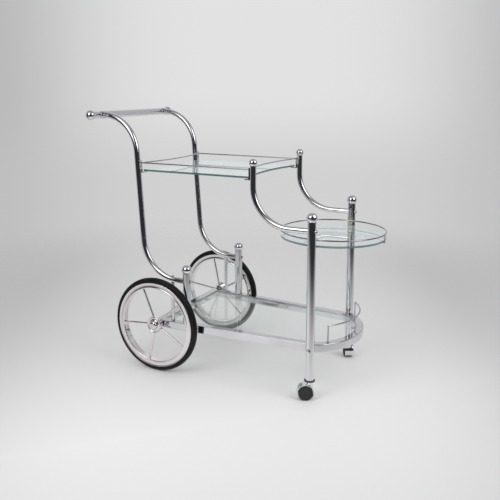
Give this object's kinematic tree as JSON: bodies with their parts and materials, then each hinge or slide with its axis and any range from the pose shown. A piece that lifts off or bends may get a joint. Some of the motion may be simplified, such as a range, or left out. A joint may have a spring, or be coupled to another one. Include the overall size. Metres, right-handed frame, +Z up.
{
  "type": "bar cart",
  "caption": "Tiered bar cart of bent chrome tube with glass shelves, a ball-ended push handle, large spoked rear wheels and hooded swivel casters.",
  "frame": {"origin": "centre of the bounding box on the floor", "axes": "+X forward from the push handle to the round shelf, +Y to the left side, +Z up"},
  "size_m": [0.9266, 0.474, 0.829],
  "materials": {
    "chrome": "polished chrome plate",
    "steel": "plain bright steel",
    "plated": "warm plated sheet",
    "glass": "clear, polished edge",
    "tyre": "smooth black rubber",
    "black_plastic": "satin black moulding",
    "pad_plastic": "clear soft pad"
  },
  "bodies": {
    "cart": {"axle": "steel", "axle_caps": "chrome", "axle_spacers": "chrome", "bracket_screws": "steel", "foot_plugs": "steel", "foot_screws": "steel", "frame_bolts": "chrome", "frame_spacers": "chrome", "glass_tabs": "plated", "guard_ferrules": "chrome", "guard_rail": "chrome", "handle_balls": "chrome", "handle_bar": "chrome", "handle_collars": "chrome", "joint_bolts": "chrome", "joint_plugs": "steel", "left_caster_socket": "black_plastic", "left_front_post": "chrome", "left_front_tube": "chrome", "left_rear_elbow": "chrome", "left_rear_post": "chrome", "left_rear_tube": "chrome", "left_strut": "chrome", "lower_frame": "chrome", "lower_glass": "glass", "post_finials": "chrome", "right_caster_socket": "black_plastic", "right_front_post": "chrome", "right_front_tube": "chrome", "right_rear_elbow": "chrome", "right_rear_post": "chrome", "right_rear_tube": "chrome", "right_strut": "chrome", "ring_brackets": "plated", "ring_clips": "plated", "round_glass": "glass", "round_ring": "chrome", "shelf_pads": "pad_plastic", "strut_screws": "steel", "top_brackets": "plated", "top_glass": "glass", "top_rail": "chrome", "tube_finials": "chrome", "tube_joiners": "steel"},
    "right_wheel": {"right_tyre": "tyre", "right_rim": "chrome", "right_spokes": "chrome", "right_hub": "chrome"},
    "right_caster": {"right_caster_hood": "chrome", "right_caster_stem": "steel", "right_caster_pin": "steel"},
    "right_caster_roller": {"right_caster_wheel": "black_plastic"},
    "left_wheel": {"left_tyre": "tyre", "left_rim": "chrome", "left_spokes": "chrome", "left_hub": "chrome"},
    "left_caster": {"left_caster_hood": "chrome", "left_caster_stem": "steel", "left_caster_pin": "steel"},
    "left_caster_roller": {"left_caster_wheel": "black_plastic"}
  },
  "joints": [
    {"name": "right_wheel_spin", "type": "hinge", "parent": "cart", "child": "right_wheel", "pos_m": [-0.213, -0.209, 0.151], "axis": [0, 1, 0], "continuous": true},
    {"name": "right_caster_swivel", "type": "hinge", "parent": "cart", "child": "right_caster", "pos_m": [0.301, -0.176, 0.06], "axis": [0, 0, 1], "continuous": true},
    {"name": "right_caster_roll", "type": "hinge", "parent": "right_caster", "child": "right_caster_roller", "pos_m": [0.29031, -0.18145, 0.0215], "axis": [-0.454, 0.891, 0], "continuous": true},
    {"name": "left_wheel_spin", "type": "hinge", "parent": "cart", "child": "left_wheel", "pos_m": [-0.213, 0.209, 0.151], "axis": [0, 1, 0], "continuous": true},
    {"name": "left_caster_swivel", "type": "hinge", "parent": "cart", "child": "left_caster", "pos_m": [0.301, 0.176, 0.06], "axis": [0, 0, 1], "continuous": true},
    {"name": "left_caster_roll", "type": "hinge", "parent": "left_caster", "child": "left_caster_roller", "pos_m": [0.29555, 0.18669, 0.0215], "axis": [0.891, 0.454, 0], "continuous": true}
  ]
}
